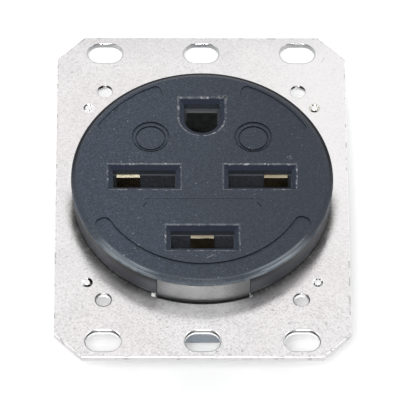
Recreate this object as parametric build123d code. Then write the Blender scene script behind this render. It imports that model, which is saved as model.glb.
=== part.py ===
"""Flush mounting three phase receptacle on a two gang steel mounting strap.

Frame (millimetres): the strap lies in the XY plane with its rear face at
z = 0 and its front face at z = strap_t.  +Z points out of the receptacle
face, +Y points to the earth opening, +X to the right hand line slot.
The origin is the centre of the box screw pattern on the rear face.
"""
from build123d import *
import math
import os

os.makedirs("parts", exist_ok=True)

# ------------------------------------------------------------------ sizes
# mounting strap
strap_t = 1.4            # sheet thickness
strap_w = 68.9           # along X
strap_h = 92.7           # along Y
strap_corner = 6.45      # 45 degree corner cuts
box_x = 46.04 / 2        # box screw pattern, half pitch along X
box_y = 83.34 / 2        # box screw pattern, half pitch along Y
slot_len = 8.2           # box screw slots, long axis X
slot_wid = 5.6
plate_y = 60.33 / 2      # wall plate screw holes, half pitch along Y
plate_hole_d = 3.5
edge_roll = 0.42         # rolled front edge of the punched slots, lower row
edge_roll_top = 0.25     # the same, upper row
hole_roll = 0.12
dimple_x = 26.9          # half sheared nibs
dimple_y = 25.3
dimple_d = 2.3
strap_bore_r = 25.5      # opening for the front insulator

# face cover (heights from z = 0)
face_z = strap_t + 7.4
under_z = strap_t + 4.75     # underside of the face plate
face_r = 29.15               # flat face
rim_r = 30.77                # outer rim
rim_top_z = strap_t + 6.62   # bevel starts here
rim_low_z = strap_t + 6.3    # underside of the small rim lip
lip_r = 30.15                # bottom of the shadow groove under the lip
lip_low_z = strap_t + 5.85
skirt_r = 30.48
skirt_in_r = 28.4

# blade openings
line_x = 13.56
line_y = -0.15
low_y = -17.6
slot_out_w = 17.55           # mouth of a line slot
slot_out_h = 7.7
funnel_in = 1.35
funnel_d = 1.05
gnd_y = 17.4                 # centre of the round end
gnd_w = 11.65
gnd_top = 5.85               # flat end above gnd_y
gnd_in = 1.6
gnd_d = 0.9
ins_side = 0.1               # insulator slot is this much smaller each side
ledge = 0.3                  # ledge under the upper wall of a slot

# shallow pads in the face
pad_d = 0.4
ring_x = 12.1
ring_y = 11.35
ring_r = 4.45

# clasps
clasp_t = 1.2
clasp_half = 10.78
clasp_dx = 0.25          # the lower clasp sits this far to the right in its slit
clasp_gap = 0.12         # side gap of a clasp in its recess
clasp_top = strap_t + 6.3
clasp_low = -16.6
clasp_arch_z = -15.5     # middle of the arched lower edge
clasp_arch_r = 21.9
slit_half = 11.15         # full width part of a slit, to each side
slit_left, slit_left_r = 11.85, 30.45      # narrower end of a slit on its left, and where it starts
slit_right, slit_right_r = 11.65, 30.95    # the same on its right
slit_out_r = 31.5
slit_in_r = 29.35

# rear moulding
body_half = 10.9             # half width of the four arms
body_r = 29.4
body_low = -17.5
pocket_r0, pocket_r1, pocket_t = 22.0, 28.2, 5.7
tail_z = -7.0                # underside of the contact tails
tail_t = 0.8
clamp_z = -12.7
clamp_th = 1.2
screw_r = 25.1

brass_t = 0.75
blade_gap = 2.1

# ------------------------------------------------------------------ helpers


def box(x0, x1, y0, y1, z0, z1):
    """Axis aligned block between two corners."""
    return Pos((x0 + x1) / 2, (y0 + y1) / 2, (z0 + z1) / 2) * Box(x1 - x0, y1 - y0, z1 - z0)


def cyl(x, y, z0, z1, r):
    """Cylinder along Z."""
    return Pos(x, y, (z0 + z1) / 2) * Cylinder(r, z1 - z0)


def ring(r0, r1, z0, z1):
    """Tube about Z."""
    return cyl(0, 0, z0, z1, r1) - cyl(0, 0, z0 - 1, z1 + 1, r0)


def prism_x(pts, x0, x1):
    """Outline given as (y, z) points, extruded along X."""
    wire = Polyline([(x0, y, z) for y, z in pts], close=True)
    return extrude(make_face(wire), amount=x1 - x0, dir=(1, 0, 0))


def turn(shape, deg):
    return Rot(0, 0, deg) * shape


def u_face(w, top, yc, z):
    """D shaped outline: flat at the top, half round below."""
    r = w / 2
    e = (Line((-r, yc + top, z), (-r, yc, z))
         + ThreePointArc((-r, yc, z), (0, yc - r, z), (r, yc, z))
         + Line((r, yc, z), (r, yc + top, z))
         + Line((r, yc + top, z), (-r, yc + top, z)))
    return make_face(e)


def arc_pad(r0, r1, a0, a1, z0, z1, fil):
    """Annular pad between two radii and two azimuths (degrees), rounded."""
    def p(r, a):
        return (r * math.cos(math.radians(a)), r * math.sin(math.radians(a)), z0)
    m = (a0 + a1) / 2
    e = (ThreePointArc(p(r0, a0), p(r0, m), p(r0, a1))
         + Line(p(r0, a1), p(r1, a1))
         + ThreePointArc(p(r1, a1), p(r1, m), p(r1, a0))
         + Line(p(r1, a0), p(r0, a0)))
    f = make_face(e)
    s = extrude(f, amount=z1 - z0, dir=(0, 0, 1))
    return fillet(s.edges().filter_by(Axis.Z), fil)


def keep(shape, name, label=None):
    shape = shape.clean() if hasattr(shape, "clean") else shape
    solids = shape.solids()
    assert len(solids) == 1, (name, len(solids), [round(s.volume, 3) for s in solids])
    s = solids[0]
    s.label = name
    export_step(s, "parts/%s.step" % name)
    return s


# ------------------------------------------------------------------ strap
outline = box(-strap_w / 2, strap_w / 2, -strap_h / 2, strap_h / 2, 0, strap_t)
outline = chamfer(outline.edges().filter_by(Axis.Z), strap_corner)
# rolled shear edge on the front
outline = fillet(outline.edges().filter_by_position(Axis.Z, strap_t - 0.01, strap_t + 0.01), 0.22)
strap = outline - cyl(0, 0, -1, strap_t + 1, strap_bore_r)
for sx in (-1, 0, 1):
    for sy in (-1, 1):
        s = extrude(SlotOverall(slot_len, slot_wid), amount=4)
        strap -= Pos(sx * box_x, sy * box_y, -1) * s
for sx in (-1, 1):
    for sy in (-1, 1):
        strap -= cyl(sx * box_x, sy * plate_y, -1, 3, plate_hole_d / 2)
# rolled front edges of the punched openings
rolled = [e for e in strap.edges().filter_by_position(Axis.Z, strap_t - 0.001, strap_t + 0.001)
          if abs(abs(e.center().Y) - box_y) < slot_wid / 2 + 0.1
          and min(abs(e.center().X - sx * box_x) for sx in (-1, 0, 1)) < slot_len / 2 + 0.1]
strap = fillet([e for e in rolled if e.center().Y < 0], edge_roll)
rolled = [e for e in strap.edges().filter_by_position(Axis.Z, strap_t - 0.001, strap_t + 0.001)
          if abs(e.center().Y - box_y) < slot_wid / 2 + 0.1
          and min(abs(e.center().X - sx * box_x) for sx in (-1, 0, 1)) < slot_len / 2 + 0.1]
strap = fillet(rolled, edge_roll_top)
rolled = [e for e in strap.edges().filter_by_position(Axis.Z, strap_t - 0.001, strap_t + 0.001)
          if abs(abs(e.center().Y) - plate_y) < 2.0 and abs(abs(e.center().X) - box_x) < 2.0]
strap = fillet(rolled, hole_roll)
# half sheared nibs: a sunken ring round a plug that stands a little proud
for sx in (-1, 1):
    for sy in (-1, 1):
        depth = 0.6 if (sx, sy) == (-1, -1) else 0.25
        cx, cy = sx * dimple_x, sy * dimple_y
        strap -= cyl(cx, cy, strap_t - depth, strap_t + 1, dimple_d / 2)
        plug = cyl(cx, cy, strap_t - depth - 0.05, strap_t + 0.1, dimple_d / 2 - 0.3)
        plug = fillet(plug.edges().filter_by_position(Axis.Z, strap_t + 0.09, strap_t + 0.11), 0.2)
        strap += plug
# arc slits for the two clasps
for deg in (90, 270):
    sx = 1 if deg == 90 else -1
    s = ring(slit_in_r, slit_out_r, -1, strap_t + 1) & box(-slit_half, slit_half, 20, 35, -1, strap_t + 1)
    s += ring(slit_left_r, slit_out_r, -1, strap_t + 1) & box(*sorted((-sx * slit_left, 0)), 20, 35, -1, strap_t + 1)
    s += ring(slit_right_r, slit_out_r, -1, strap_t + 1) & box(*sorted((sx * slit_right, 0)), 20, 35, -1, strap_t + 1)
    strap -= turn(s, deg - 90)
keep(strap, "mounting_strap")

# ------------------------------------------------------------------ face cover
prof = [(0, under_z), (skirt_in_r, under_z), (skirt_in_r, strap_t), (skirt_r - 0.25, strap_t),
        (skirt_r, strap_t + 0.3), (skirt_r, lip_low_z), (lip_r, lip_low_z), (lip_r, rim_low_z),
        (rim_r, rim_low_z), (rim_r, rim_top_z), (face_r, face_z), (0, face_z)]
wire = Polyline([(r, 0, z) for r, z in prof], close=True)
cover = revolve(make_face(wire), axis=Axis.Z, revolution_arc=360)
cover = fillet(cover.edges().filter_by_position(Axis.Z, rim_top_z - 0.01, rim_top_z + 0.01), 0.3)
cover = fillet(cover.edges().filter_by_position(Axis.Z, face_z - 0.01, face_z + 0.01), 0.5)


def mouth(w, h):
    """Funnel and straight throat of a line slot, centred on the origin."""
    top = Pos(0, 0, face_z) * Rectangle(w, h)
    low = Pos(0, 0, face_z - funnel_d) * Rectangle(w - 2 * funnel_in, h - 2 * funnel_in)
    f = loft([top, low])
    t = extrude(Rectangle(w - 2 * funnel_in, h - 2 * funnel_in), amount=20)
    return f + Pos(0, 0, face_z - funnel_d - 20 + 0.001) * t


line_mouth = mouth(slot_out_w, slot_out_h)
cutters = [Pos(-line_x, line_y, 0) * line_mouth, Pos(line_x, line_y, 0) * line_mouth,
           Pos(0, low_y, 0) * line_mouth]
g0 = u_face(gnd_w, gnd_top, gnd_y, face_z)
g1 = u_face(gnd_w - 2 * gnd_in, gnd_top - gnd_in, gnd_y, face_z - gnd_d)
gm = loft([g0, g1]) + extrude(u_face(gnd_w - 2 * gnd_in, gnd_top - gnd_in, gnd_y, face_z - gnd_d + 0.001),
                              amount=20, dir=(0, 0, -1))
cutters.append(gm)
for c in cutters:
    cover -= c
# softened mouth edges
mouth_edges = [e for e in cover.edges()
               if abs(e.center().Z - face_z) < 1e-3 and (e.center().X ** 2 + e.center().Y ** 2) ** 0.5 < 25
               and e.bounding_box().max.Z - e.bounding_box().min.Z < 1e-3
               and e.length < 25]
cover = fillet(mouth_edges, 0.22)

# shallow plain pads
for a0, a1 in ((28.3, 69.6), (110.9, 151.2)):
    cover -= arc_pad(25.0, 28.6, a0, a1, face_z - 0.3, face_z + 1, 1.4)
cover -= arc_pad(24.9, 28.8, 207.0, 334.0, face_z - pad_d, face_z + 1, 1.7)
pad = extrude(RectangleRounded(28.6, 4.0, 0.9), amount=2)
cover -= Pos(0, -8.5, face_z - 0.06) * pad
# short tapered ticks at the upper corners of the middle pad
for sx in (-1, 1):
    tick = extrude(make_face(Polyline([(13.9, -8.75), (13.2, -7.65), (12.6, -7.55), (13.25, -8.05), (13.7, -8.9)],
                                      close=True)), amount=2)
    if sx < 0:
        tick = mirror(tick, about=Plane.YZ)
    cover -= Pos(0, 0, face_z - 0.32) * tick
for sx in (-1, 1):
    m = cyl(sx * ring_x, ring_y, face_z - 0.42, face_z + 1, ring_r)
    m -= cyl(sx * ring_x, ring_y, face_z - 2, face_z + 2, 4.02)
    m += cyl(sx * ring_x, ring_y, face_z - 0.16, face_z + 1, 4.03)
    g = cyl(sx * ring_x, ring_y - 0.3, face_z - 0.6, face_z + 1, 3.6)
    g -= cyl(sx * ring_x, ring_y - 0.3, face_z - 2, face_z + 2, 3.2)
    cover -= m
    cover -= g

# recesses for the clasps, each with a pocket for the hooked end
for deg in (90, 270):
    n = ring(rim_r - clasp_t - 0.05, 40, strap_t - 1, clasp_top + 0.05)
    w = clasp_half + clasp_gap
    n = n & box(-w, w, 20, 45, -1, 20)
    h = ring(27.0, 40, clasp_top - clasp_t - 0.05, clasp_top + 0.05)
    h = h & box(-w, w, 20, 45, -1, 20)
    lean = math.degrees(clasp_dx / rim_r) if deg == 270 else 0.0
    cover -= turn(n + h, deg - 90 + lean)
# screw bosses under the face
boss_y = (7.6, -9.4)
for y in boss_y:
    cover += cyl(0, y, strap_t + 0.6, under_z + 0.01, 3.2)
    cover -= cyl(0, y, strap_t + 0.5, strap_t + 6.1, 1.45)
keep(cover, "face_cover")

# ------------------------------------------------------------------ front insulator
ins = cyl(0, 0, strap_t, under_z, 28.2) + cyl(0, 0, 0, strap_t + 0.01, 25.3)
iw = slot_out_w - 2 * funnel_in - 2 * ins_side
in_lo = -(slot_out_h / 2 - funnel_in) + ins_side        # relative to slot centre
in_hi = (slot_out_h / 2 - funnel_in) - ledge
for cx, cy in ((-line_x, line_y), (line_x, line_y), (0, low_y)):
    ins -= box(cx - iw / 2, cx + iw / 2, cy + in_lo, cy + in_hi, -1, 20)
finger_half = 2.72
finger_hi = 2.50        # rear face of the raised contact finger at its tip, relative to slot centre
for cx, cy in ((-17.35, line_y), (17.35, line_y), (0, low_y)):
    ins -= box(cx - finger_half - 0.2, cx + finger_half + 0.2, cy + 0.5, cy + finger_hi + 0.1, -1, 20)
gi = extrude(u_face(gnd_w - 2 * gnd_in - 0.3, gnd_top - gnd_in - ledge, gnd_y, -2), amount=20, dir=(0, 0, 1))
ins -= gi
ins -= box(-3.95, 3.95, 14.4, 21.3, -1, 3.8)
for y in boss_y:
    ins -= cyl(0, y, -1, 20, 1.7)
    ins -= cyl(0, y, strap_t + 0.55, 20, 3.35)
# posts that hold the contact tails down
for deg in (0, 90, 180, 270):
    ins += turn(box(21.3, 22.0, -4.4, 4.4, tail_z + tail_t, 0.01), deg)
keep(ins, "front_insulator")

# ------------------------------------------------------------------ back body
body = (box(-40, 40, -body_half, body_half, body_low, 0)
        + box(-body_half, body_half, -40, 40, body_low, 0))
body = body & cyl(0, 0, body_low, 0, body_r)
inner = [e for e in body.edges().filter_by(Axis.Z)
         if (e.center().X ** 2 + e.center().Y ** 2) ** 0.5 < 18]
body = fillet(inner, 2.0)
low_edges = body.edges().filter_by_position(Axis.Z, body_low - 0.01, body_low + 0.01)
body = chamfer(low_edges, 0.7)
cav_w = iw / 2 + 0.15
cav_lo, cav_hi = -2.75, 2.65
cav_z = -15.0
for cx, cy in ((-line_x, line_y), (line_x, line_y), (0, low_y)):
    body -= box(cx - cav_w, cx + cav_w, cy + cav_lo, cy + cav_hi, cav_z, 1)
gnd_cav = (-4.1, 4.1, 13.3, 21.35)
body -= box(*gnd_cav, -13.9, 1)
for deg in (0, 90, 180, 270):
    cut = box(pocket_r0, pocket_r1, -pocket_t, pocket_t, body_low - 1, tail_z - 0.05)
    cut += box(pocket_r0, pocket_r1, -pocket_t, pocket_t, tail_z - 0.06, 1)
    cut += box(20.2, pocket_r0 + 0.1, -4.9, 4.9, tail_z, 1)
    # wire way through one flank
    cut += box(22.5, 26.95, pocket_t - 0.1, 13, -11.5, -7.0)
    body -= turn(cut, deg)
    # strip length gauge: a groove beside the terminal on the rear face
    body -= turn(box(23.0, 26.6, -9.6, -8.7, body_low - 1, body_low + 0.5), deg)
for y in boss_y:
    body -= cyl(0, y, -20, 1, 1.7)
    body -= cyl(0, y, -20, -14.6, 3.1)
# recessed plain panel in the middle of the rear face
body -= Pos(0, -0.9, body_low - 1) * extrude(RectangleRounded(17.0, 8.6, 1.2), amount=1.4)
# seats for the feet of the clasps
for deg in (90, 270):
    for sx in (-1, 1):
        x0, x1 = (6.3, 12.0) if sx > 0 else (-12.0, -6.3)
        body -= turn(box(x0, x1, 25.2, 35, body_low - 1, clasp_low + clasp_t + 0.0), deg - 90)
keep(body, "back_body")

# ------------------------------------------------------------------ clasps
for name, deg in (("clasp_upper", 90), ("clasp_lower", 270)):
    lean = math.degrees(clasp_dx / rim_r) if deg == 270 else 0.0
    arc = ring(rim_r - clasp_t, rim_r, clasp_low, clasp_top)
    arc = arc & box(-clasp_half, clasp_half, 20, 45, -30, 20)
    hook = ring(27.1, rim_r - clasp_t + 0.1, clasp_top - clasp_t, clasp_top)
    hook = hook & box(-clasp_half, clasp_half, 20, 45, -30, 20)
    c = arc + hook
    # arched lower edge between the two feet
    c -= Pos(0, 30, clasp_arch_z - clasp_arch_r) * Rot(90, 0, 0) * Cylinder(clasp_arch_r, 12)
    for sx in (-1, 1):
        x0, x1 = (6.9, clasp_half) if sx > 0 else (-clasp_half, -6.9)
        foot = box(x0, x1, 25.6, 30, clasp_low, clasp_low + clasp_t)
        foot = foot & cyl(0, 0, -30, 20, rim_r - clasp_t + 0.1)
        c += foot
    keep(turn(c, deg - 90 + lean), name)

# ------------------------------------------------------------------ contacts
grip = blade_gap / 2


def line_contact(fx0, fx1, wx0, wx1, tail):
    """Brass line contact about a slot centre: two leaves, floor and raised
    finger. (fx0, fx1) is the finger, (wx0, wx1) the leaves along X."""
    z_floor = -14.25
    hi = finger_hi
    # the finger's end is cut off at a slant and its front corner is rolled
    tip = under_z - 0.05
    up = prism_x([(grip, z_floor), (grip + brass_t, z_floor), (grip + brass_t, 0.8),
                  (hi, tip - 0.3), (hi - 0.03, tip), (hi - 0.57, tip - 0.165), (hi - 0.70, tip - 0.29),
                  (hi - brass_t - 0.02, tip - 0.52), (hi - brass_t - 0.05, tip - 0.85), (grip, 0.8)], fx0, fx1)
    up += prism_x([(grip, z_floor), (grip + brass_t, z_floor), (grip + brass_t, -3.0), (grip, -3.0)], wx0, wx1)
    dn = prism_x([(-grip, z_floor), (-grip - brass_t, z_floor), (-grip - brass_t, -3.0),
                  (-2.55, -0.4), (-2.55 + brass_t, -0.4), (-grip, -3.0)], wx0, wx1)
    fl = box(wx0, wx1, -grip - brass_t, grip + brass_t, z_floor, z_floor + brass_t)
    c = up + dn + fl
    return c + tail


def tail_plate(r0):
    """Tail along local +X, to be turned towards its terminal."""
    t = box(r0, 27.9, -5.4, 5.4, tail_z, tail_z + tail_t)
    t -= box(r0 - 1, 22.1, -9, -4.7, tail_z - 1, tail_z + 2)
    t -= box(r0 - 1, 22.1, 4.7, 9, tail_z - 1, tail_z + 2)
    t -= cyl(screw_r, 0, tail_z - 1, tail_z + 2, 1.75)
    return t


wx = iw / 2 - 0.15
tl = tail_plate(20.45)
right = Pos(line_x, line_y, 0) * line_contact(17.35 - line_x - finger_half, 17.35 - line_x + finger_half, -wx, wx,
                                              Pos(-line_x, -line_y, 0) * (tl + box(20.2, 20.6, grip + line_y, grip + line_y + brass_t, tail_z, tail_z + tail_t)))
keep(right, "contact_right")
left = Pos(-line_x, line_y, 0) * line_contact(-17.35 + line_x - finger_half, -17.35 + line_x + finger_half, -wx, wx,
                                              Pos(line_x, -line_y, 0) * turn(tl, 180))
keep(left, "contact_left")
lowc = Pos(0, low_y, 0) * line_contact(-finger_half, finger_half, -wx, wx,
                                       Pos(0, -low_y, 0) * turn(tail_plate(19.0), 270))
keep(lowc, "contact_lower")

# earth contact: a channel open towards the slots, with a tail
gz = -1.2
gc = (box(-3.6, 3.6, 20.45, 20.45 + brass_t, -13.6, under_z - 0.1)
      + box(-3.75, -3.0, 14.6, 20.5, -13.6, gz)
      + box(3.0, 3.75, 14.6, 20.5, -13.6, gz)
      + box(-3.75, 3.75, 14.6, 21.2, -13.6, -13.6 + brass_t))
gc += turn(tail_plate(20.5), 90)
keep(gc, "ground_contact")

# ------------------------------------------------------------------ springs
for name, cx, cy in (("spring_left", -line_x, line_y), ("spring_right", line_x, line_y), ("spring_lower", 0, low_y)):
    a = grip + brass_t
    w = 3.6
    sp = prism_x([(-a, -14.25), (a, -14.25), (a, -8.2), (a + 0.45, -7.6), (a + 0.45, -14.75),
                  (-a - 0.45, -14.75), (-a - 0.45, -7.6), (-a, -8.2)], -w, w)
    keep(Pos(cx, cy, 0) * sp, name)

# strip that bonds the earth contact to the strap
bs = (box(-4.0, 4.0, 24.2, 27.7, tail_z + tail_t, tail_z + tail_t + 0.6)
      + box(-4.0, 4.0, 27.1, 27.7, tail_z + tail_t, 0)
      + box(-4.0, 4.0, 25.8, 27.7, -0.6, 0))
bs -= cyl(0, screw_r, -10, -3, 2.05)
keep(bs, "ground_bond_strip")

# ------------------------------------------------------------------ terminals


def clamp():
    c = box(22.3, 27.9, -5.3, 5.3, clamp_z, clamp_z + clamp_th)
    c = fillet(c.edges().filter_by(Axis.Z), 0.8)
    # pressed ribs that bite the wire
    for t in (-4.0, -2.6, 2.6, 4.0):
        c += box(22.9, 27.3, t - 0.2, t + 0.2, clamp_z + clamp_th - 0.01, clamp_z + clamp_th + 0.2)
    c -= cyl(screw_r, 0, -20, 0, 1.8)
    return c


def screw(hexed=False):
    z1 = clamp_z
    z0 = clamp_z - 2.3
    if hexed:
        head = Pos(screw_r, 0, z0) * extrude(RegularPolygon(3.05, 6), amount=z1 - z0)
        head = head & (cyl(screw_r, 0, z0, z1, 2.95))
    else:
        head = cyl(screw_r, 0, z0, z1, 3.0)
        head = fillet(head.edges().filter_by_position(Axis.Z, z0 - 0.01, z0 + 0.01), 0.6)
    s = head + cyl(screw_r, 0, z1 - 0.01, -4.4, 1.72)
    s -= box(screw_r - 4, screw_r + 4, -0.45, 0.45, z0 - 1, z0 + 1.1)
    return s


for name, deg in (("right", 0), ("left", 180), ("lower", 270), ("ground", 90)):
    keep(turn(clamp(), deg), "clamp_" + name)
    if name == "ground":
        keep(turn(screw(True), deg), "ground_screw")
    else:
        keep(turn(screw(), deg), "terminal_screw_" + name)

# ------------------------------------------------------------------ assembly screws
for name, y in (("assembly_screw_upper", boss_y[0]), ("assembly_screw_lower", boss_y[1])):
    h = cyl(0, y, -17.0, -14.6, 2.9)
    h = fillet(h.edges().filter_by_position(Axis.Z, -17.01, -16.99), 0.6)
    s = h + cyl(0, y, -14.61, strap_t + 5.9, 1.43)
    s -= Pos(0, y, 0) * (box(-0.4, 0.4, -1.7, 1.7, -18, -15.9) + box(-1.7, 1.7, -0.4, 0.4, -18, -15.9))
    keep(s, name)
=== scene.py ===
import bpy
import math
from mathutils import Matrix, Vector


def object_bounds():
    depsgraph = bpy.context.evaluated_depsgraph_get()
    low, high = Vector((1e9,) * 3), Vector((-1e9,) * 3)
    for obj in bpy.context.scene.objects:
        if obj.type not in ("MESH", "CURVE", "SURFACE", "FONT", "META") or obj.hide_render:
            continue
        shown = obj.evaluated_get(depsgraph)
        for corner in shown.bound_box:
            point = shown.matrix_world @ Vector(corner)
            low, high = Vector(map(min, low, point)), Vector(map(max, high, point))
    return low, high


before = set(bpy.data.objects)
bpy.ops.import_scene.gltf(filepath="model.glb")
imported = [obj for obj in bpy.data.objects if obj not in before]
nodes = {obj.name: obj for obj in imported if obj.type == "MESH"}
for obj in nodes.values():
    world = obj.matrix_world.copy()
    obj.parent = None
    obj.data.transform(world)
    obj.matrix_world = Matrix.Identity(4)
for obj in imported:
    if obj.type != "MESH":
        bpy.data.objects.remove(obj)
cad_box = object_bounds()
MM = 0.001

# ------------------------------------------------------------------ node helpers


class Mat:
    """Small helper that builds one procedural material."""

    def __init__(self, name):
        self.m = bpy.data.materials.new(name)
        self.m.use_nodes = True
        self.t = self.m.node_tree
        self.t.nodes.clear()
        self.out = self.t.nodes.new("ShaderNodeOutputMaterial")
        self.bsdf = self.t.nodes.new("ShaderNodeBsdfPrincipled")
        self.t.links.new(self.bsdf.outputs[0], self.out.inputs[0])
        self.tc = self.t.nodes.new("ShaderNodeTexCoord")
        self.geo = None

    def put(self, sock, v):
        if isinstance(v, bpy.types.NodeSocket):
            self.t.links.new(v, sock)
        else:
            sock.default_value = v

    def set(self, **kw):
        for k, v in kw.items():
            self.put(self.bsdf.inputs[k.replace("_", " ")], v)

    @property
    def obj(self):
        return self.tc.outputs["Object"]

    def geometry(self, what):
        if self.geo is None:
            self.geo = self.t.nodes.new("ShaderNodeNewGeometry")
        return self.geo.outputs[what]

    def mapping(self, scale=(1, 1, 1), rot=(0, 0, 0), loc=(0, 0, 0), src=None):
        n = self.t.nodes.new("ShaderNodeMapping")
        n.inputs["Scale"].default_value = scale
        n.inputs["Rotation"].default_value = rot
        n.inputs["Location"].default_value = loc
        self.t.links.new(src or self.obj, n.inputs["Vector"])
        return n.outputs[0]

    def noise(self, scale, detail=2.0, rough=0.5, vec=None, dist=0.0, colour=False):
        n = self.t.nodes.new("ShaderNodeTexNoise")
        n.inputs["Scale"].default_value = scale
        n.inputs["Detail"].default_value = detail
        n.inputs["Roughness"].default_value = rough
        n.inputs["Distortion"].default_value = dist
        self.t.links.new(vec or self.obj, n.inputs["Vector"])
        return n.outputs["Color" if colour else 0]

    def voronoi(self, scale, vec=None, feature="F1", rnd=1.0):
        n = self.t.nodes.new("ShaderNodeTexVoronoi")
        n.feature = feature
        n.inputs["Scale"].default_value = scale
        n.inputs["Randomness"].default_value = rnd
        self.t.links.new(vec or self.obj, n.inputs["Vector"])
        return n.outputs["Distance"]

    def ramp(self, v, a, b, lo=0.0, hi=1.0, smooth=True):
        n = self.t.nodes.new("ShaderNodeMapRange")
        n.interpolation_type = "SMOOTHSTEP" if smooth else "LINEAR"
        n.inputs["From Min"].default_value = a
        n.inputs["From Max"].default_value = b
        n.inputs["To Min"].default_value = lo
        n.inputs["To Max"].default_value = hi
        self.put(n.inputs["Value"], v)
        return n.outputs[0]

    def math(self, op, a, b=0.0, c=0.0, clamp=False):
        n = self.t.nodes.new("ShaderNodeMath")
        n.operation = op
        n.use_clamp = clamp
        self.put(n.inputs[0], a)
        self.put(n.inputs[1], b)
        self.put(n.inputs[2], c)
        return n.outputs[0]

    def mix(self, f, a, b, mode="MIX"):
        n = self.t.nodes.new("ShaderNodeMix")
        n.data_type = "RGBA"
        n.blend_type = mode
        self.put(n.inputs["Factor"], f)
        self.put(n.inputs["A"], (*a, 1) if isinstance(a, tuple) and len(a) == 3 else a)
        self.put(n.inputs["B"], (*b, 1) if isinstance(b, tuple) and len(b) == 3 else b)
        return n.outputs["Result"]

    def xyz(self, src=None):
        n = self.t.nodes.new("ShaderNodeSeparateXYZ")
        self.t.links.new(src or self.obj, n.inputs[0])
        return n.outputs

    def bump(self, h, strength=1.0, dist=0.0001, normal=None):
        n = self.t.nodes.new("ShaderNodeBump")
        n.inputs["Strength"].default_value = strength
        n.inputs["Distance"].default_value = dist
        self.t.links.new(h, n.inputs["Height"])
        if normal is not None:
            self.t.links.new(normal, n.inputs["Normal"])
        return n.outputs[0]


class Mm(Mat):
    """Adds object coordinates in millimetres and a few masks."""

    def __init__(self, name):
        super().__init__(name)
        sx, sy, sz = self.xyz()
        self.x = self.math("MULTIPLY", sx, 1000.0)
        self.y = self.math("MULTIPLY", sy, 1000.0)
        self.z = self.math("MULTIPLY", sz, 1000.0)
        n = self.xyz(self.geometry("True Normal"))
        self.nx, self.ny, self.nz = n[0], n[1], n[2]
        self.r = self.length(self.x, self.y)

    def length(self, a, b):
        return self.math("SQRT", self.math("ADD", self.math("MULTIPLY", a, a), self.math("MULTIPLY", b, b)))

    def mul(self, *v):
        out = v[0]
        for w in v[1:]:
            out = self.math("MULTIPLY", out, w)
        return out

    def add(self, *v):
        out = v[0]
        for w in v[1:]:
            out = self.math("ADD", out, w)
        return out

    def inv(self, v):
        return self.math("SUBTRACT", 1.0, v)

    def band(self, v, a, b, soft):
        """1 between a and b, with soft edges."""
        return self.mul(self.ramp(v, a - soft, a + soft), self.ramp(v, b + soft, b - soft))

    def near(self, cx, cy, r, soft=0.1):
        """1 inside a disc about (cx, cy)."""
        d = self.length(self.math("SUBTRACT", self.x, cx), self.math("SUBTRACT", self.y, cy))
        return self.ramp(d, r + soft, r - soft), d

    def arc(self, cx, cy, a0, a1, soft=10.0):
        """1 where the azimuth about (cx, cy) is between a0 and a1 degrees (a0 < a1, under a full turn)."""
        mid = math.radians((a0 + a1) / 2)
        half = math.radians((a1 - a0) / 2)
        dx = self.math("SUBTRACT", self.x, cx)
        dy = self.math("SUBTRACT", self.y, cy)
        c = self.math("DIVIDE", self.add(self.mul(dx, math.cos(mid)), self.mul(dy, math.sin(mid))),
                      self.math("MAXIMUM", self.length(dx, dy), 0.001))
        s_ = math.radians(soft)
        return self.ramp(c, math.cos(min(half + s_, math.pi)), math.cos(max(half - s_, 0.0)))


def assign(mat, *names):
    for n in names:
        o = nodes[n]
        o.data.materials.clear()
        o.data.materials.append(mat.m)


# ------------------------------------------------------------------ zinc plated steel


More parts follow.
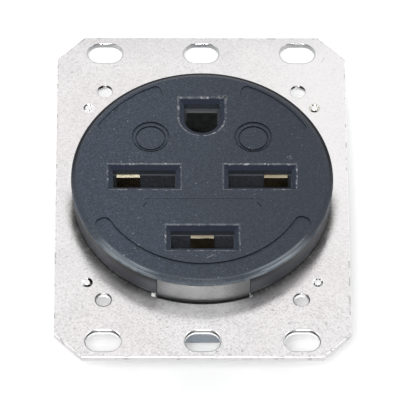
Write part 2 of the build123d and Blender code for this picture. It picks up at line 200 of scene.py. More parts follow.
def zinc(name, tint=(0.90, 0.885, 0.885), flecks=1.0, seed=0.0, rough=0.17, light=(1.0, 1.0, 1.0), spark=1.0):
    M = Mm(name)
    # broad cloudy tone of the plating
    cloud = M.noise(120, 4.0, 0.6, M.mapping(loc=(seed, 0.3, 0)))
    broad = M.noise(30, 2.0, 0.5, M.mapping(loc=(0.2, seed, 0)))
    base = M.mix(M.ramp(cloud, 0.3, 0.72), tuple(c * 0.955 for c in tint),
                 tuple(min(1.0, c * 1.03) for c in tint))
    base = M.mix(M.ramp(broad, 0.38, 0.66, 0, 0.6), base, (tint[0] * 1.01, tint[1] * 0.965, tint[2] * 0.975))
    # fine spangle, light and dark, coarser towards the lower edge
    grain = M.noise(1900, 2.0, 0.6)
    worm = M.noise(900, 1.0, 0.5, M.mapping(loc=(0.4, seed, 0.9)), dist=1.2)
    strong = M.ramp(M.y, -22.0, -36.0, 0.62, 1.0)
    base = M.mix(M.mul(M.ramp(grain, 0.54, 0.26), 0.50 * spark, strong), base, (tint[0] * 0.60, tint[1] * 0.60, tint[2] * 0.62))
    base = M.mix(M.mul(M.ramp(grain, 0.50, 0.74), 0.62 * spark), base, light)
    base = M.mix(M.mul(M.ramp(worm, 0.58, 0.74), 0.26 * spark, strong), base, (tint[0] * 0.62, tint[1] * 0.62, tint[2] * 0.63))
    base = M.mix(M.mul(M.ramp(worm, 0.40, 0.26), 0.42 * spark, strong), base, light)
    # short marks in several directions, in loose patches
    mask = M.ramp(M.noise(75, 2.0, 0.5, M.mapping(loc=(3.1, seed, 1.0))), 0.42, 0.64)
    total = None
    for i, (ang, th) in enumerate(((0.35, 0.70), (1.4, 0.70), (2.5, 0.70), (-0.7, 0.70))):
        v = M.mapping(scale=(1.0, 2.2, 1.0), rot=(0, 0, ang), loc=(0.7 * i, 0.31 * i + seed, 0))
        f = M.noise(760, 1.0, 0.4, v)
        t = M.ramp(f, th, th + 0.06)
        total = t if total is None else M.math("MAXIMUM", total, t)
    fl = M.mul(total, M.math("MULTIPLY_ADD", mask, 0.85, 0.15), M.ramp(M.y, -20.0, -36.0, 0.42, 0.75), flecks)
    base = M.mix(fl, base, (0.38, 0.37, 0.36))
    # sparse dark pits
    pit = M.ramp(M.voronoi(300, M.mapping(loc=(0, seed, 0.4))), 0.10, 0.05)
    keep = M.ramp(M.noise(190, 1.0, 0.5, M.mapping(loc=(5.0, seed, 0))), 0.60, 0.66)
    base = M.mix(M.mul(pit, keep, 0.8 * flecks), base, (0.16, 0.15, 0.14))
    r = M.ramp(cloud, 0.3, 0.7, rough - 0.03, rough + 0.05)
    M.rough = M.add(r, M.mul(fl, 0.3))
    h = M.add(M.mul(grain, 0.35), M.mul(M.noise(420, 3.0, 0.6), 0.9))
    h = M.math("SUBTRACT", h, M.mul(fl, 0.5))
    M.base = base
    M.h = h
    M.set(Base_Color=base, Metallic=1.0, Roughness=M.rough, Normal=M.bump(h, 0.22 if spark == 1.0 else 0.10, 0.00012))
    return M


strap = zinc("zinc_strap")
M = strap
base = M.base
top_z = 1.4
flat = M.mul(M.ramp(M.nz, 0.985, 0.998), M.ramp(M.z, 1.2, 1.35))
# painted light: the plate is painted a little brighter towards the right hand side
base = M.mix(M.mul(M.ramp(M.x, 2.0, 30.0, 0.0, 0.60), M.ramp(M.y, -26.0, 6.0)), base, (1.0, 0.985, 0.985))
# painted shade: darker radial streaks that run out from the face, strongest in front of it
az = M.math("ARCTAN2", M.x, M.mul(M.y, -1.0))
comb = M.t.nodes.new("ShaderNodeCombineXYZ")
M.put(comb.inputs[0], az)
M.put(comb.inputs[1], M.mul(M.r, 0.001))
streak = M.noise(34, 3.0, 0.65, M.mapping(scale=(1.0, 7.0, 1.0), src=comb.outputs[0]))
zone = M.mul(M.ramp(M.r, 44.0, 33.5), M.ramp(M.y, -12.0, -26.0))
base = M.mix(M.mul(M.ramp(streak, 0.54, 0.70), zone, 0.22), base, (0.50, 0.49, 0.47))
# a few long fine scratches near the lower edge
for cx, cy, ang, ln in ((-3.0, -39.2, 0.9, 5.0), (7.5, -36.8, -0.8, 4.0), (12.0, -38.6, 0.5, 6.0), (-12.5, -37.0, 1.2, 4.5),
                        (3.5, -36.0, 0.3, 5.5), (17.0, -34.0, 0.9, 3.5), (-20.0, 38.0, 0.4, 4.0), (29.6, 40.5, 1.1, 4.0)):
    dx, dy = M.math("SUBTRACT", M.x, cx), M.math("SUBTRACT", M.y, cy)
    u = M.add(M.mul(dx, math.cos(ang)), M.mul(dy, math.sin(ang)))
    w = M.add(M.mul(dx, -math.sin(ang)), M.mul(dy, math.cos(ang)))
    w = M.add(w, M.mul(M.noise(160, 2.0, 0.5), 0.8), -0.4)
    sc = M.mul(M.ramp(M.math("ABSOLUTE", u), ln / 2, ln / 2 - 1.2), M.ramp(M.math("ABSOLUTE", w), 0.16, 0.04))
    base = M.mix(M.mul(sc, M.ramp(M.noise(900, 1.0, 0.5), 0.40, 0.55), 0.5), base, (0.40, 0.39, 0.38))
# greyer towards the top edge
top = M.ramp(M.add(M.y, M.mul(M.noise(70, 3.0, 0.6), 16.0)), 47.0, 56.0)
base = M.mix(M.mul(top, 0.22), base, (0.52, 0.52, 0.53))
# painted highlight: a bright ring on the plate beside the face on the far side
far_ring_highlight = M.mul(M.band(M.r, 30.4, 32.0, 0.35), M.ramp(M.y, -2.0, 12.0))
base = M.mix(M.mul(far_ring_highlight, 0.95), base, (1.0, 1.0, 1.0))
# painted shade on the plate in front of the face and close round its foot: dark, streaky and mottled, with pale streaks
# left through it
edge = M.mul(M.ramp(M.add(M.r, M.mul(M.noise(300, 2.0, 0.6), 1.6), M.mul(streak, 2.6)), 35.0, 32.4), M.ramp(M.y, 4.0, -8.0),
             M.ramp(M.math("ABSOLUTE", M.x), 6.0, 13.0, 0.35, 1.0))
base = M.mix(M.mul(edge, 0.62), base, (0.30, 0.30, 0.275))
mottle = M.noise(520, 2.0, 0.65, M.mapping(loc=(6, 6, 0)))
foot_shade = M.mul(M.ramp(M.add(M.r, M.mul(mottle, 1.2)), 34.0, 31.0), M.ramp(M.y, 2.0, -10.0), M.ramp(M.math("ABSOLUTE", M.x), 8.0, 13.0))
base = M.mix(M.mul(foot_shade, M.ramp(mottle, 0.30, 0.60, 0.32, 0.70)), base, (0.13, 0.13, 0.12))
base = M.mix(M.mul(edge, M.ramp(streak, 0.46, 0.62), M.ramp(M.r, 34.6, 31.6), 0.55), base, (0.12, 0.12, 0.115))
base = M.mix(M.mul(M.ramp(M.r, 36.5, 33.0), M.ramp(M.y, -6.0, -20.0), M.ramp(streak, 0.44, 0.30), 0.45), base, (0.95, 0.94, 0.93))
# painted shade: a dark band on the plate where the face meets it
contact = M.mul(M.band(M.r, 29.6, 30.72, 0.06), M.ramp(M.y, 6.0, -4.0))
base = M.mix(M.mul(contact, 0.30), base, (0.14, 0.14, 0.14))
# rolled edges of the slots: a painted highlight makes the far side white in the lower row, and painted shade makes the
# rest greyer than the flat
low_row = M.ramp(M.y, -30.0, -35.0)
top_row = M.ramp(M.y, 33.0, 36.0)
wall = M.ramp(M.nz, 0.30, 0.10)
rim_d = M.math("MAXIMUM", M.math("MULTIPLY", M.math("ABSOLUTE", M.x), 1.0 / 34.45), M.math("MULTIPLY", M.math("ABSOLUTE", M.y), 1.0 / 46.35))
rim_d = M.math("MAXIMUM", rim_d, M.math("MULTIPLY", M.add(M.math("ABSOLUTE", M.x), M.math("ABSOLUTE", M.y)), 1.0 / 74.35))
outer = M.ramp(rim_d, 0.9895, 0.993)
roll = M.mul(M.ramp(M.nz, 0.27, 0.33), M.ramp(M.nz, 0.990, 0.955), M.ramp(M.z, 0.7, 0.9), M.inv(outer))
far = M.ramp(M.ny, -0.05, -0.35)
base = M.mix(M.mul(roll, M.inv(far), 0.62), base, (0.36, 0.375, 0.38))
base = M.mix(M.mul(roll, far, low_row, 0.9), base, (1.0, 1.0, 1.0))
# grey line round the upper row of punched slots, strongest on their lower side
lx = M.math("MAXIMUM", M.math("SUBTRACT", M.math("PINGPONG", M.math("ADD", M.x, 23.02 * 3), 11.51), 1.3), 0.0)
near_slot = M.length(lx, M.math("SUBTRACT", M.math("ABSOLUTE", M.y), 41.67))
line = M.mul(M.band(near_slot, 2.76, 3.16, 0.12), M.ramp(M.z, 1.0, 1.2), M.ramp(M.noise(260, 2.0, 0.5, M.mapping(loc=(8, 2, 0))), 0.30, 0.50, 0.35, 1.0))
base = M.mix(M.mul(line, top_row, M.ramp(M.math("SUBTRACT", M.y, 41.67), 2.6, 0.8, 0.45, 1.0), 0.62), base, (0.50, 0.50, 0.525))
# punched walls: painted light in two tones, white in the lower row and plate toned grey in the upper one, with darker
# dashes on the sides there
base = M.mix(M.mul(wall, M.inv(outer), low_row, 0.9), base, (1.0, 1.0, 1.0))
grey = M.mul(M.math("MAXIMUM", wall, M.mul(roll, far)), top_row, M.inv(outer))
base = M.mix(M.mul(grey, 0.95), base, (0.55, 0.548, 0.56))
side = M.mul(grey, M.ramp(M.math("ABSOLUTE", M.nx), 0.35, 0.75), M.ramp(M.noise(520, 2.0, 0.5, M.mapping(loc=(2, 2, 0))), 0.42, 0.54))
base = M.mix(M.mul(side, M.ramp(M.ny, 0.05, -0.15), 0.40), base, (0.30, 0.30, 0.32))
# dark band at the top of the lower row's far walls, blackest at its ends
local = M.math("PINGPONG", M.math("ADD", M.x, 23.02 * 3 - 11.51), 11.51)
local = M.math("SUBTRACT", 11.51, local)
ends = M.ramp(local, 1.4, 3.0)
far_wall_dark_band = M.mul(M.inv(outer), low_row, M.ramp(M.ny, -0.12, -0.35), M.ramp(M.nz, 0.86, 0.70), M.band(M.z, 0.62, 1.22, 0.08))
base = M.mix(M.mul(far_wall_dark_band, M.math("MULTIPLY_ADD", ends, 0.32, 0.66)), base, (0.010, 0.010, 0.012))
# cut outer edge: painted shade keeps it plate toned instead of bright, with rust dark dots
dots = M.ramp(M.noise(430, 3.0, 0.7, M.mapping(scale=(1.0, 1.0, 0.4), loc=(1, 3, 0))), 0.52, 0.64)
cutedge = M.mul(wall, outer, M.ramp(M.ny, 0.6, 0.2))
base = M.mix(M.mul(cutedge, 0.92), base, (0.56, 0.55, 0.555))
base = M.mix(M.mul(outer, dots, M.ramp(M.z, 0.25, 0.5), M.ramp(M.ny, 0.9, 0.5), 0.50), base, (0.16, 0.155, 0.15))
back = M.mul(outer, M.ramp(M.ny, 0.10, 0.30), M.ramp(M.noise(150, 2.0, 0.6, M.mapping(loc=(4, 3, 0))), 0.40, 0.56))
base = M.mix(M.mul(back, 0.6), base, (0.20, 0.20, 0.20))
# painted shade: the arc slits round the clasps are painted near black inside
slit = M.mul(M.band(M.r, 28.9, 31.44, 0.03), M.ramp(M.math("ABSOLUTE", M.y), 24.0, 25.5), M.ramp(M.z, 1.39, 1.36))
base = M.mix(M.mul(slit, wall, 0.97), base, (0.012, 0.012, 0.013))
# painted highlight: bright white corners at the ends of the lower slit, standing in for light seen through it
slit_end_glint = M.math("MAXIMUM", M.band(M.x, -11.9, -11.0, 0.08), M.band(M.x, 11.2, 11.7, 0.08))
slit_end_glint = M.mul(slit_end_glint, M.ramp(M.y, -24.0, -25.0), M.band(M.r, 30.3, 31.05, 0.05), M.ramp(M.z, 1.38, 1.3))
base = M.mix(slit_end_glint, base, (1.0, 1.0, 1.0))
# small holes: grey round each hole, walls painted white as painted light, dark arcs at the edge and a dark ring round
# the lower ones
for cx, cy, ears, k in ((-23.02, 30.165, ((102, 156), (24, 76)), 0.98), (23.02, 30.165, ((112, 150), (18, 74)), 0.98),
                        (-23.02, -30.165, ((112, 166), (16, 62)), 0.96), (23.02, -30.165, ((104, 146), (-10, 52)), 0.96)):
    hit, d = M.near(cx, cy, 1.98, 0.04)
    base = M.mix(M.mul(hit, 0.30), base, (0.45, 0.45, 0.47))
    base = M.mix(M.mul(hit, wall, M.ramp(M.z, 0.95, 0.70), 0.95), base, (1.0, 1.0, 1.0))
    for a0, a1 in ears:
        m = M.mul(hit, M.arc(cx, cy, a0, a1, 8.0), M.ramp(d, 1.92, 1.86), M.ramp(M.z, 0.62, 0.78) if cy > 0 else M.ramp(M.z, 0.86, 1.0))
        base = M.mix(M.mul(m, k), base, (0.004, 0.004, 0.005))
    if cy < 0:
        rim = M.mul(M.band(d, 1.74, 2.04, 0.05), M.ramp(M.z, 1.1, 1.2), M.inv(M.arc(cx, cy, 60, 112, 10.0)))
        if cx > 0:
            rim = M.mul(rim, M.ramp(M.noise(420, 2.0, 0.5), 0.42, 0.52))
        base = M.mix(M.mul(rim, 0.85), base, (0.14, 0.14, 0.145))
# half sheared nibs: a whiter plug, an olive ring on the upper right one, and dark arcs in the ring round each
for cx, cy, spans, k, tone in ((-26.9, 25.3, ((104, 205),), 0.85, (0.06, 0.055, 0.05)), (26.9, 25.3, ((215, 322),), 0.95, (0.02, 0.015, 0.01)),
                               (-26.9, -25.3, ((-140, 80),), 1.0, (0.004, 0.004, 0.004)), (26.9, -25.3, ((-128, 36),), 0.9, (0.04, 0.04, 0.04))):
    hit, d = M.near(cx, cy, 1.38, 0.05)
    ringm = M.mul(hit, M.ramp(d, 0.76, 0.86))
    base = M.mix(M.mul(hit, 0.9), base, (1.0, 1.0, 1.0))
    if (cx, cy) == (26.9, 25.3):
        base = M.mix(M.mul(hit, M.ramp(d, 0.62, 0.80), 0.70), base, (0.60, 0.585, 0.52))
    for a0, a1 in spans:
        m = M.mul(ringm, M.arc(cx, cy, a0, a1, 9.0))
        if (cx, cy) != (-26.9, -25.3):
            m = M.mul(m, M.ramp(d, 1.26, 1.16))
        m = M.mul(m, M.ramp(M.noise(520, 2.0, 0.6, M.mapping(loc=(cx, cy, 0))), 0.32, 0.46))
        base = M.mix(M.mul(m, k), base, tone)
    if cx > 0 and cy < 0:
        dots = M.mul(ringm, M.ramp(M.noise(900, 1.0, 0.5), 0.52, 0.60), M.ramp(d, 1.26, 1.16))
        base = M.mix(M.mul(dots, 0.8), base, (0.10, 0.10, 0.10))
# sheet edge and rear, less bright than the front
M.set(Base_Color=base)
# the mirror is a little blurred where the face marked it
M.set(Roughness=M.add(M.rough, M.mul(M.ramp(M.r, 40.0, 32.0), 0.035), M.mul(M.ramp(M.r, 36.0, 32.5), M.ramp(M.y, -14.0, -24.0), 0.11)))

# painted shade: the clasp steel is given a far darker tint than the strap
clasp = zinc("zinc_clasp_shaded", tint=(0.30, 0.31, 0.312), flecks=0.35, seed=2.0, rough=0.54, light=(0.40, 0.41, 0.41), spark=0.7)
M = clasp
# painted shade: duller on the left hand half and towards both ends
base = M.mix(M.mul(M.band(M.x, -7.4, 2.6, 2.2), 0.56), M.base, (0.12, 0.123, 0.123))
base = M.mix(M.mul(M.ramp(M.x, 4.0, 11.0), 0.45), base, (0.13, 0.135, 0.14))
base = M.mix(M.mul(M.ramp(M.x, -6.5, -11.2), 0.55), base, (0.13, 0.135, 0.14))
# fine lines left by forming, along the sheet
line = M.noise(300, 3.0, 0.6, M.mapping(scale=(0.35, 0.35, 9.0)))
base = M.mix(M.ramp(line, 0.5, 0.75, 0, 0.22), base, (0.20, 0.21, 0.22))
# painted shade: darker towards the slit, and near black inside it and behind the strap
base = M.mix(M.mul(M.ramp(M.z, 3.0, 1.4), 0.42), base, (0.07, 0.072, 0.075))
base = M.mix(M.mul(M.band(M.z, -2.6, 1.42, 0.12), 0.96), base, (0.012, 0.012, 0.013))
# painted shade: below the strap the clasp is painted a blue grey, lighter than above but darker than the strap, with
# darker blotches
blotch = M.ramp(M.noise(330, 3.0, 0.6, M.mapping(loc=(1.0, 2.0, 0.3))), 0.5, 0.68)
low = M.ramp(M.z, -2.6, -4.0)
base = M.mix(M.mul(low, 0.85), base, (0.375, 0.415, 0.46))
base = M.mix(M.mul(low, blotch, 0.5), base, (0.13, 0.15, 0.17))
M.set(Base_Color=base)
assign(strap, "mounting_strap")
assign(clasp, "clasp_upper", "clasp_lower")

# ------------------------------------------------------------------ moulded plastics


def plastic(name, colour, rough, grain=1.0, pale=(0.16, 0.17, 0.19), dust=0.30):
    M = Mm(name)
    a = M.noise(70, 2.0, 0.5)
    b = M.noise(2300, 2.0, 0.6)
    c = M.noise(1250, 2.0, 0.5, M.mapping(loc=(4.0, 1.0, 0)))
    col = M.mix(M.ramp(a, 0.3, 0.7), tuple(v * 0.96 for v in colour), tuple(v * 1.04 for v in colour))
    # mineral filler: a violet and a green grey grain over the base
    col = M.mix(M.ramp(b, 0.48, 0.70, 0, 0.74 * grain), col, (colour[0] * 2.1, colour[1] * 2.1, colour[2] * 2.05))
    col = M.mix(M.ramp(b, 0.50, 0.30, 0, 0.60 * grain), col, (colour[0] * 0.38, colour[1] * 0.38, colour[2] * 0.42))
    col = M.mix(M.ramp(c, 0.52, 0.72, 0, 0.50 * grain), col, (colour[0] * 1.35, colour[1] * 1.02, colour[2] * 1.35))
    # pale specks of dust
    sp = M.ramp(M.voronoi(620), 0.15, 0.07)
    kp = M.ramp(M.noise(310, 1.0, 0.5, M.mapping(loc=(2, 1, 0))), 0.52, 0.64)
    col = M.mix(M.mul(sp, kp, dust), col, pale)
    sp = M.ramp(M.voronoi(1250, M.mapping(loc=(1, 7, 0))), 0.20, 0.10)
    kp = M.ramp(M.noise(700, 1.0, 0.5, M.mapping(loc=(6, 1, 0))), 0.55, 0.66)
    col = M.mix(M.mul(sp, kp, dust * 0.8), col, pale)
    h = M.add(M.mul(b, 0.7), M.mul(M.noise(260, 2.0, 0.5), 0.6))
    M.rough = M.ramp(a, 0.3, 0.7, rough - 0.04, rough + 0.05)
    M.base = col
    M.h = h
    M.set(Base_Color=col, Roughness=M.rough, Normal=M.bump(h, 0.22 * grain, 0.00012))
    M.bsdf.inputs["IOR"].default_value = 1.5
    M.bsdf.inputs["Specular IOR Level"].default_value = 0.40
    return M


cover = plastic("slate_cover", (0.030, 0.040, 0.058), 0.44, 1.0, pale=(0.24, 0.26, 0.29), dust=0.75)
M = cover
face_z = 8.8
col = M.base
# painted shade: a little darker towards the right hand side
col = M.mix(M.mul(M.ramp(M.x, -24.0, 26.0), M.ramp(M.nz, 0.7, 0.9), 0.50), col, (0.009, 0.011, 0.017))
# painted shade: chamfers of the openings painted darker and bluer than the face, most on those that face towards -Y
cham = M.mul(M.ramp(M.nz, 0.28, 0.36), M.ramp(M.nz, 0.97, 0.93), M.ramp(M.r, 28.4, 28.0), M.ramp(M.z, face_z - 0.14, face_z - 0.30))
col = M.mix(M.mul(cham, M.ramp(M.ny, -0.1, -0.5, 0.35, 0.90)), col, (0.013, 0.017, 0.034))
# pale edges round the openings, broken up: wear, with a painted highlight strongest on the edges that face +Y, and pale
# spots along them
w = M.mul(M.ramp(M.nz, 0.36, 0.46), M.ramp(M.nz, 0.992, 0.965), M.ramp(M.z, face_z - 0.34, face_z - 0.22), M.ramp(M.r, 28.6, 28.2))
wear_and_highlight = M.ramp(M.noise(620, 2.0, 0.6), 0.40, 0.60, 0.10, 1.0)
w = M.mul(w, wear_and_highlight)
highlight_side = M.ramp(M.ny, -0.1, 0.3, 0.60, 1.0)
col = M.mix(M.mul(w, highlight_side, 0.85), col, (0.155, 0.165, 0.185))
spot = M.mul(M.ramp(M.nz, 0.36, 0.46), M.ramp(M.nz, 0.992, 0.965), M.ramp(M.z, face_z - 0.34, face_z - 0.22), M.ramp(M.r, 28.6, 28.2),
             M.ramp(M.noise(1100, 1.0, 0.5, M.mapping(loc=(9, 1, 0))), 0.60, 0.68))
col = M.mix(M.mul(spot, 0.8), col, (0.36, 0.365, 0.38))
# painted shade: the walls at the foot of the shallow pads and grooves are painted near black
groove_shade = M.mul(M.ramp(M.nz, 0.3, 0.1), M.ramp(M.r, 28.96, 28.9), M.ramp(M.z, 8.05, 8.12))
col = M.mix(M.mul(groove_shade, 0.85), col, (0.006, 0.006, 0.008))
# bevel round the face: smoother; painted highlight as pale streaks along it at the lower left and lower right, and
# painted shade darkening the rest of it
bev = M.mul(M.band(M.r, 29.3, 30.9, 0.18), M.ramp(M.z, 7.9, 8.05), M.ramp(M.nz, 0.6, 0.8))
comb = M.t.nodes.new("ShaderNodeCombineXYZ")
M.put(comb.inputs[0], M.mul(M.math("ARCTAN2", M.x, M.y), 0.003))
M.put(comb.inputs[1], M.mul(M.r, 0.004))
lines = M.noise(900, 3.0, 0.6, M.mapping(src=comb.outputs[0]))
bevel_highlight = M.math("MAXIMUM", M.arc(0, 0, 224, 244, 10.0), M.arc(0, 0, 295, 316, 11.0))
bevel_highlight = M.math("MAXIMUM", bevel_highlight, M.mul(M.arc(0, 0, 243, 297, 8.0), 0.25))
thin = M.math("MAXIMUM", M.band(M.r, 29.42, 29.58, 0.07), M.band(M.r, 30.18, 30.36, 0.07))
col = M.mix(M.mul(bev, M.ramp(bevel_highlight, 0.0, 0.4, 0.35, 0.0), M.inv(thin)), col, (0.010, 0.013, 0.019))
col = M.mix(M.mul(bev, bevel_highlight, M.ramp(lines, 0.40, 0.60, 0.30, 1.0), M.math("MULTIPLY_ADD", thin, 0.5, 0.5)), col, (0.235, 0.27, 0.295))
# painted shade: the far side of the rim is painted near black
farbev = M.mul(M.band(M.r, 29.95, 30.95, 0.12), M.ramp(M.z, 7.6, 7.8), M.ramp(M.y, -8.0, 8.0))
col = M.mix(M.mul(farbev, 0.92), col, (0.002, 0.003, 0.005))
# painted highlight: a pale broken line on the rim's outer edge, strongest beside the bevel highlights
rim = M.mul(M.band(M.r, 30.45, 30.9, 0.06), M.band(M.z, 7.66, 8.18, 0.05), M.inv(farbev))
col = M.mix(M.mul(rim, M.ramp(M.noise(260, 2.0, 0.6), 0.35, 0.60, 0.30, 1.0), M.math("MULTIPLY_ADD", bevel_highlight, 0.50, 0.25)), col, (0.20, 0.225, 0.245))
# painted shade: the groove under the rim is painted near black
groove = M.add(M.mul(M.band(M.z, 7.22, 7.70, 0.04), M.ramp(M.r, 29.9, 30.1)), 0.0)
col = M.mix(M.mul(groove, 0.85), col, (0.008, 0.008, 0.010))
wallm = M.mul(M.ramp(M.nz, 0.3, 0.1), M.ramp(M.r, 30.2, 30.4), M.ramp(M.z, 7.2, 7.1))
blot = M.noise(260, 3.0, 0.6, M.mapping(loc=(7, 3, 0)))
col = M.mix(M.mul(wallm, 0.85), col, (0.010, 0.013, 0.023))
col = M.mix(M.mul(wallm, M.ramp(blot, 0.45, 0.65, 0, 0.7)), col, (0.034, 0.030, 0.042))
# painted shade takes the wall near black towards the rim; painted light makes it lighter towards its foot and beside
# the lower clasp, with a broken pale line and a paler band at the foot
col = M.mix(M.mul(wallm, M.ramp(M.z, 3.4, 7.1), 0.9), col, (0.001, 0.001, 0.002))
col = M.mix(M.mul(wallm, M.ramp(M.z, 4.0, 2.2), 0.25), col, (0.060, 0.060, 0.068))
beside = M.mul(wallm, M.ramp(M.math("ABSOLUTE", M.x), 17.5, 11.6), M.ramp(M.y, -20.0, -24.0), M.ramp(M.z, 7.0, 4.8))
col = M.mix(M.mul(beside, 0.60), col, (0.105, 0.112, 0.128))
col = M.mix(M.mul(wallm, M.band(M.z, 1.60, 1.95, 0.10), M.ramp(M.noise(190, 2.0, 0.6), 0.42, 0.58), 0.7), col, (0.24, 0.245, 0.24))
foot = M.mul(M.ramp(M.z, 1.78, 1.68), M.ramp(M.r, 29.2, 29.4), M.ramp(M.y, 10.0, -4.0))
col = M.mix(M.mul(foot, 0.8), col, (0.09, 0.09, 0.094))
# throats of the openings are dull and deep
throat = M.mul(M.ramp(M.nz, 0.25, 0.1), M.ramp(M.r, 27.5, 27.0), M.ramp(M.z, 7.95, 7.80))
col = M.mix(M.mul(throat, 0.5), col, (0.05, 0.055, 0.06))
# moulding flash at the right top corner of the earth opening
fx, fy = M.math("SUBTRACT", M.x, 4.9), M.math("SUBTRACT", M.y, 22.55)
fd = M.length(fx, fy)
fl = M.mul(M.ramp(fd, 1.7, 0.3), M.ramp(M.noise(800, 2.0, 0.6), 0.50, 0.60))
col = M.mix(M.mul(fl, 0.8), col, (0.24, 0.25, 0.25))
fl = M.mul(M.ramp(M.length(M.math("SUBTRACT", M.x, 5.5), M.math("SUBTRACT", M.y, 23.1)), 0.45, 0.25), 0.9)
col = M.mix(fl, col, (0.01, 0.01, 0.01))
# light scuffs beside the right opening and between the lower ones
for cx, cy, ang, ln in ((20.4, 5.0, 0.2, 2.2), (20.7, 5.7, 0.8, 1.4), (2.0, -22.9, 0.5, 3.0), (3.4, -22.5, 0.9, 2.2), (12.0, -5.4, 0.3, 2.0)):
    dx, dy = M.math("SUBTRACT", M.x, cx), M.math("SUBTRACT", M.y, cy)
    u = M.add(M.mul(dx, math.cos(ang)), M.mul(dy, math.sin(ang)))
    v = M.add(M.mul(dx, -math.sin(ang)), M.mul(dy, math.cos(ang)))
    sc = M.mul(M.ramp(M.math("ABSOLUTE", u), ln / 2, ln / 2 - 0.6), M.ramp(M.math("ABSOLUTE", v), 0.22, 0.05), M.ramp(M.z, 8.3, 8.6))
    col = M.mix(M.mul(sc, M.ramp(M.noise(700, 1.0, 0.5), 0.42, 0.56), 0.6), col, (0.20, 0.21, 0.22))
M.set(Base_Color=col, Roughness=M.add(M.rough, M.mul(bev, -0.16), M.mul(farbev, 0.55), M.mul(cham, 0.45)))

inner = plastic("dark_moulding", (0.055, 0.062, 0.074), 0.5, 0.8, dust=0.1)
M = inner
# painted light: the upward faces of the ledge inside the line openings are painted lighter
ledge = M.mul(M.band(M.nz, 0.9, 1.1, 0.02), M.ramp(M.z, 6.0, 6.1))
earth = M.mul(M.ramp(M.y, 12.5, 13.5), M.ramp(M.nz, 0.5, 0.3))
col = M.mix(M.mul(ledge, M.ramp(M.y, 13.0, 11.0), 0.5), M.base, (0.13, 0.14, 0.145))
M.set(Base_Color=M.mix(M.mul(earth, 0.9), col, (0.17, 0.185, 0.20)))
rear = plastic("rear_moulding", (0.045, 0.050, 0.058), 0.5, 0.8)
M = rear
corner = M.mul(M.band(M.nz, -0.93, -0.25, 0.06), M.ramp(M.noise(200, 2.0, 0.6), 0.35, 0.6, 0.2, 0.8))
M.set(Base_Color=M.mix(corner, M.base, (0.115, 0.12, 0.13)))
assign(cover, "face_cover")
assign(inner, "front_insulator")
assign(rear, "back_body")

# ------------------------------------------------------------------ brass and small metal


def metal(name, colour, dark, rough, scale=500, streak=(1, 1, 1), patina=0.4, bump=0.15, tip=None, deep=(0.50, 0.40, 0.27)):
    M = Mm(name)
    v = M.mapping(scale=streak)
    a = M.noise(scale, 3.0, 0.6, v)
    b = M.noise(scale * 0.3, 2.0, 0.5)
    col = M.mix(M.math("MULTIPLY", M.ramp(b, 0.4, 0.7), patina), colour, dark)
    col = M.mix(M.ramp(a, 0.4, 0.8, 0, 0.25), col, dark)
    if tip is not None:
        # painted shade: the walls below the tip are painted darker
        col = M.mix(M.mul(M.ramp(M.z, tip, tip - 0.35), M.ramp(M.z, -4.0, -2.0), 0.93), col, deep)
    r = M.ramp(a, 0.3, 0.7, rough - 0.05, rough + 0.08)
    M.set(Base_Color=col, Metallic=1.0, Roughness=r, Normal=M.bump(a, bump, 0.0001))
    return M


tip_z = 6.1
# painted light: the three line contacts are one brass painted in three brightnesses, the left one lightest; the earth
# contact and its strip are painted darker still as painted shade
assign(metal("brass_left", (0.55, 0.51, 0.39), (0.42, 0.35, 0.21), 0.24, patina=0.15, tip=tip_z - 0.45), "contact_left")
assign(metal("brass_right", (0.37, 0.325, 0.24), (0.26, 0.20, 0.125), 0.32, patina=0.4, tip=tip_z - 0.45), "contact_right")
assign(metal("brass_lower", (0.35, 0.31, 0.245), (0.22, 0.175, 0.12), 0.32, patina=0.4, tip=tip_z - 0.45), "contact_lower")
assign(metal("brass_dull_shaded", (0.36, 0.335, 0.28), (0.20, 0.18, 0.15), 0.55, patina=0.6, tip=6.4, deep=(0.17, 0.18, 0.185)),
       "ground_contact", "ground_bond_strip")
assign(metal("spring_steel", (0.42, 0.43, 0.46), (0.20, 0.20, 0.24), 0.34, streak=(1, 1, 6)), "spring_left", "spring_right", "spring_lower")
assign(metal("plated_small", (0.70, 0.69, 0.66), (0.48, 0.47, 0.42), 0.30, patina=0.35),
       "clamp_left", "clamp_right", "clamp_lower", "clamp_ground", "assembly_screw_upper", "assembly_screw_lower")
assign(metal("screw_brass", (0.80, 0.60, 0.29), (0.52, 0.36, 0.16), 0.30, patina=0.35),
       "terminal_screw_left", "terminal_screw_right", "terminal_screw_lower")
green = metal("screw_green", (0.035, 0.26, 0.10), (0.02, 0.15, 0.06), 0.36, patina=0.4)
assign(green, "ground_screw")

# ------------------------------------------------------------------ smooth shading on the curved faces
for o in nodes.values():
    me = o.data
    me.polygons.foreach_set("use_smooth", [True] * len(me.polygons))
    me.update()

# ------------------------------------------------------------------ floor
low = cad_box[0]
low_z = low[2]
bpy.ops.mesh.primitive_plane_add(size=6.0, location=(0, 0, low_z - 0.00002))
floor = bpy.context.object
floor.name = "floor"
F = Mm("pale_floor")
F.set(Base_Color=F.mix(F.ramp(F.noise(9, 2.0, 0.5), 0.3, 0.7), (0.86, 0.86, 0.86), (0.88, 0.88, 0.88)), Roughness=0.9)
F.bsdf.inputs["Specular IOR Level"].default_value = 0.1
F.bsdf.inputs["Emission Color"].default_value = (1, 1, 1, 1)
F.bsdf.inputs["Emission Strength"].default_value = 0.25
floor.data.materials.append(F.m)

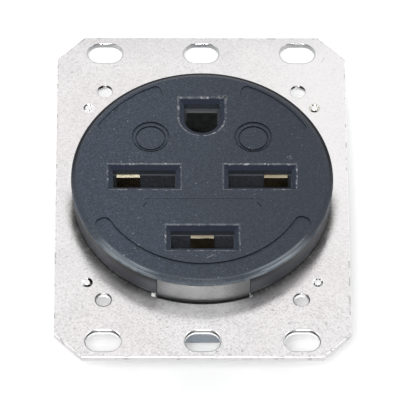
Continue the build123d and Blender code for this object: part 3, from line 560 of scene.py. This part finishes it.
# ------------------------------------------------------------------ light
WORLD_DARK, WORLD_LIGHT = 0.30, 0.93
world = bpy.data.worlds.new("studio")
bpy.context.scene.world = world
world.use_nodes = True
bg = world.node_tree.nodes["Background"]
bg.inputs[1].default_value = 1.0
wt = world.node_tree
co = wt.nodes.new("ShaderNodeTexCoord")
sep = wt.nodes.new("ShaderNodeSeparateXYZ")
wt.links.new(co.outputs["Generated"], sep.inputs[0])
mr = wt.nodes.new("ShaderNodeMapRange")
mr.interpolation_type = "SMOOTHSTEP"
mr.inputs["From Min"].default_value = -0.30
mr.inputs["From Max"].default_value = 0.40
mr.inputs["To Min"].default_value = WORLD_DARK
mr.inputs["To Max"].default_value = WORLD_LIGHT
wt.links.new(sep.outputs[1], mr.inputs["Value"])
cc = wt.nodes.new("ShaderNodeCombineXYZ")
for i in range(3):
    wt.links.new(mr.outputs[0], cc.inputs[i])
wt.links.new(cc.outputs[0], bg.inputs[0])


def area(name, loc, target, size, power, colour=(1, 1, 1), size_y=None):
    d = bpy.data.lights.new(name, "AREA")
    d.shape = "RECTANGLE" if size_y else "SQUARE"
    d.size = size
    if size_y:
        d.size_y = size_y
    d.energy = power
    d.color = colour
    o = bpy.data.objects.new(name, d)
    bpy.context.scene.collection.objects.link(o)
    o.location = loc
    o.rotation_euler = (Vector(target) - Vector(loc)).to_track_quat("-Z", "Y").to_euler()
    return o


def box_light(name, d, dist, size, radiance, colour=(1, 1, 1), size_y=None):
    """Soft box in direction d whose face has the given radiance."""
    v = Vector(d).normalized() * dist
    return area(name, v, (0, 0, 0), size, radiance * math.pi * size * (size_y or size), colour, size_y)


box_light("left", (-0.52, -0.02, 0.86), 1.0, 0.34, 3.2, (0.96, 0.99, 1.0))
box_light("right", (0.52, -0.02, 0.86), 1.0, 0.34, 3.2, (0.96, 0.99, 1.0))
box_light("over", (0.0, 0.10, 1.0), 1.0, 0.24, 1.6, (1.0, 0.99, 0.96))
box_light("front", (-0.057, -0.571, 0.819), 1.1, 0.165, 65.0)

# ------------------------------------------------------------------ camera
f_px, rx, ry, rz = 5530.08, math.radians(-35.689), math.radians(0.475), math.radians(-0.058)
tx, ty, tz = 0.2513, 1.3297, 1302.47


def rot(axis, a):
    return Matrix.Rotation(a, 3, axis)


R = rot("Z", rz) @ rot("Y", ry) @ rot("X", rx)
pos = R.transposed() @ Vector((-tx, -ty, tz)) * MM
strap_front = 1.4 * MM
cam_d = bpy.data.cameras.new("camera")
cam = bpy.data.objects.new("camera", cam_d)
bpy.context.scene.collection.objects.link(cam)
cam.matrix_world = Matrix.Translation(pos + Vector((-0.0002, 0, strap_front))) @ R.transposed().to_4x4()
cam_d.sensor_width = 36.0
cam_d.lens = 36.0 * f_px / 400.0
cam_d.clip_start = 0.05
cam_d.clip_end = 20.0
bpy.context.scene.camera = cam

vs = bpy.context.scene.view_settings
vs.view_transform = "Standard"
vs.look = "None"
vs.exposure = 0.0
vs.gamma = 1.0
